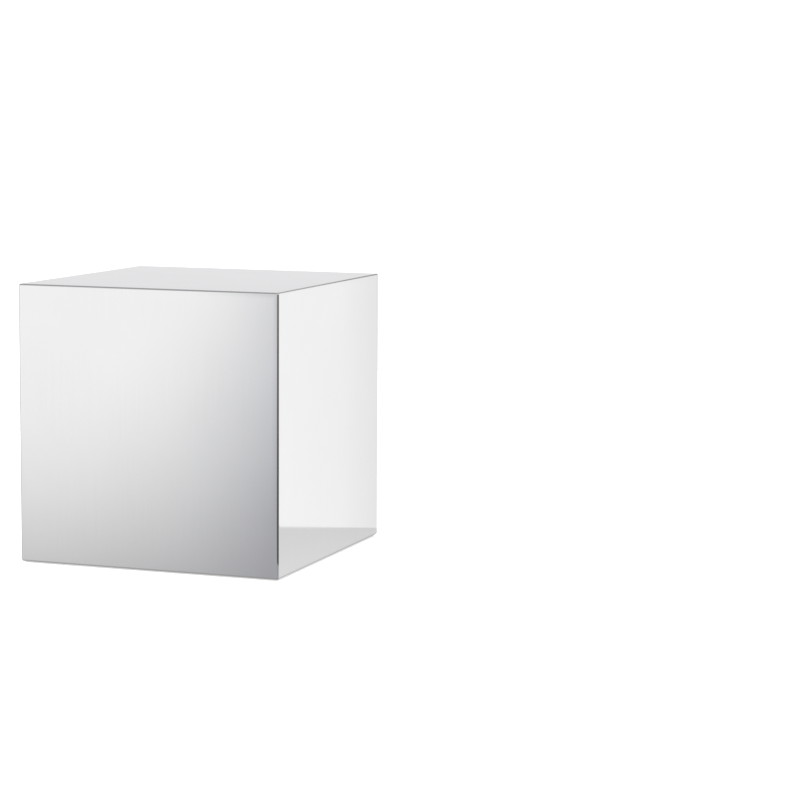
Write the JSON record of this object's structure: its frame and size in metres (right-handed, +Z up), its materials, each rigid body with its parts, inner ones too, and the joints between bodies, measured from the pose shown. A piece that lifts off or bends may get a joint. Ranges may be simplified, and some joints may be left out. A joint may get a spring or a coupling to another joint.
{
  "type": "mirror cube side table",
  "caption": "Plain cube side table or plinth clad in mirror-polished stainless sheet over a wooden carcass, standing on levelling glides.",
  "frame": {"origin": "on the floor, under the middle of the cube, with the glides screwed all the way in", "axes": "+Z up; +X to the right along the front face; the front face looks towards -Y. The four sides are alike."},
  "size_m": [0.4, 0.4, 0.402],
  "materials": {
    "mirror_steel": "mirror-polished stainless steel, faint polishing lines",
    "fibreboard": "raw medium-density fibreboard",
    "pine": "planed softwood, unfinished",
    "black_board": "black melamine-faced board, satin",
    "zinc_plated_steel": "bright zinc plate",
    "nylon": "black moulded nylon, matt"
  },
  "bodies": {
    "cube": {"back_board": "fibreboard", "back_cleat": "pine", "back_skin": "mirror_steel", "base_board": "black_board", "base_screw_back_1": "zinc_plated_steel", "base_screw_back_2": "zinc_plated_steel", "base_screw_front_1": "zinc_plated_steel", "base_screw_front_2": "zinc_plated_steel", "base_screw_left_1": "zinc_plated_steel", "base_screw_left_2": "zinc_plated_steel", "base_screw_right_1": "zinc_plated_steel", "base_screw_right_2": "zinc_plated_steel", "cleat_screw_back_1": "zinc_plated_steel", "cleat_screw_back_2": "zinc_plated_steel", "cleat_screw_front_1": "zinc_plated_steel", "cleat_screw_front_2": "zinc_plated_steel", "cleat_screw_left_1": "zinc_plated_steel", "cleat_screw_left_2": "zinc_plated_steel", "cleat_screw_right_1": "zinc_plated_steel", "cleat_screw_right_2": "zinc_plated_steel", "corner_post_back_left": "pine", "corner_post_back_right": "pine", "corner_post_front_left": "pine", "corner_post_front_right": "pine", "front_board": "fibreboard", "front_cleat": "pine", "front_skin": "mirror_steel", "glide_insert_back_left": "zinc_plated_steel", "glide_insert_back_right": "zinc_plated_steel", "glide_insert_front_left": "zinc_plated_steel", "glide_insert_front_right": "zinc_plated_steel", "left_board": "fibreboard", "left_cleat": "pine", "left_skin": "mirror_steel", "right_board": "fibreboard", "right_cleat": "pine", "right_skin": "mirror_steel", "top_board": "fibreboard", "top_skin": "mirror_steel"},
    "pad_front_left": {"glide_pad_front_left": "nylon"},
    "stud_front_left": {"glide_stud_front_left": "zinc_plated_steel"},
    "pad_front_right": {"glide_pad_front_right": "nylon"},
    "stud_front_right": {"glide_stud_front_right": "zinc_plated_steel"},
    "pad_back_right": {"glide_pad_back_right": "nylon"},
    "stud_back_right": {"glide_stud_back_right": "zinc_plated_steel"},
    "pad_back_left": {"glide_pad_back_left": "nylon"},
    "stud_back_left": {"glide_stud_back_left": "zinc_plated_steel"}
  },
  "joints": [
    {"name": "glide_travel_front_left", "type": "slide", "parent": "cube", "child": "pad_front_left", "axis": [0, 0, -1], "range_m": [0, 0.01]},
    {"name": "glide_turn_front_left", "type": "hinge", "parent": "pad_front_left", "child": "stud_front_left", "pos_m": [-0.14, -0.14, 0.013], "axis": [0, 0, -1], "range_deg": [0, 2880]},
    {"name": "glide_travel_front_right", "type": "slide", "parent": "cube", "child": "pad_front_right", "axis": [0, 0, -1], "range_m": [0, 0.01]},
    {"name": "glide_turn_front_right", "type": "hinge", "parent": "pad_front_right", "child": "stud_front_right", "pos_m": [0.14, -0.14, 0.013], "axis": [0, 0, -1], "range_deg": [0, 2880]},
    {"name": "glide_travel_back_right", "type": "slide", "parent": "cube", "child": "pad_back_right", "axis": [0, 0, -1], "range_m": [0, 0.01]},
    {"name": "glide_turn_back_right", "type": "hinge", "parent": "pad_back_right", "child": "stud_back_right", "pos_m": [0.14, 0.14, 0.013], "axis": [0, 0, -1], "range_deg": [0, 2880]},
    {"name": "glide_travel_back_left", "type": "slide", "parent": "cube", "child": "pad_back_left", "axis": [0, 0, -1], "range_m": [0, 0.01]},
    {"name": "glide_turn_back_left", "type": "hinge", "parent": "pad_back_left", "child": "stud_back_left", "pos_m": [-0.14, 0.14, 0.013], "axis": [0, 0, -1], "range_deg": [0, 2880]}
  ],
  "couplings": [
    {"joint": "glide_travel_front_left", "follows": "glide_turn_front_left", "m_per_rad": 0.00019894},
    {"joint": "glide_travel_front_right", "follows": "glide_turn_front_right", "m_per_rad": 0.00019894},
    {"joint": "glide_travel_back_right", "follows": "glide_turn_back_right", "m_per_rad": 0.00019894},
    {"joint": "glide_travel_back_left", "follows": "glide_turn_back_left", "m_per_rad": 0.00019894}
  ]
}
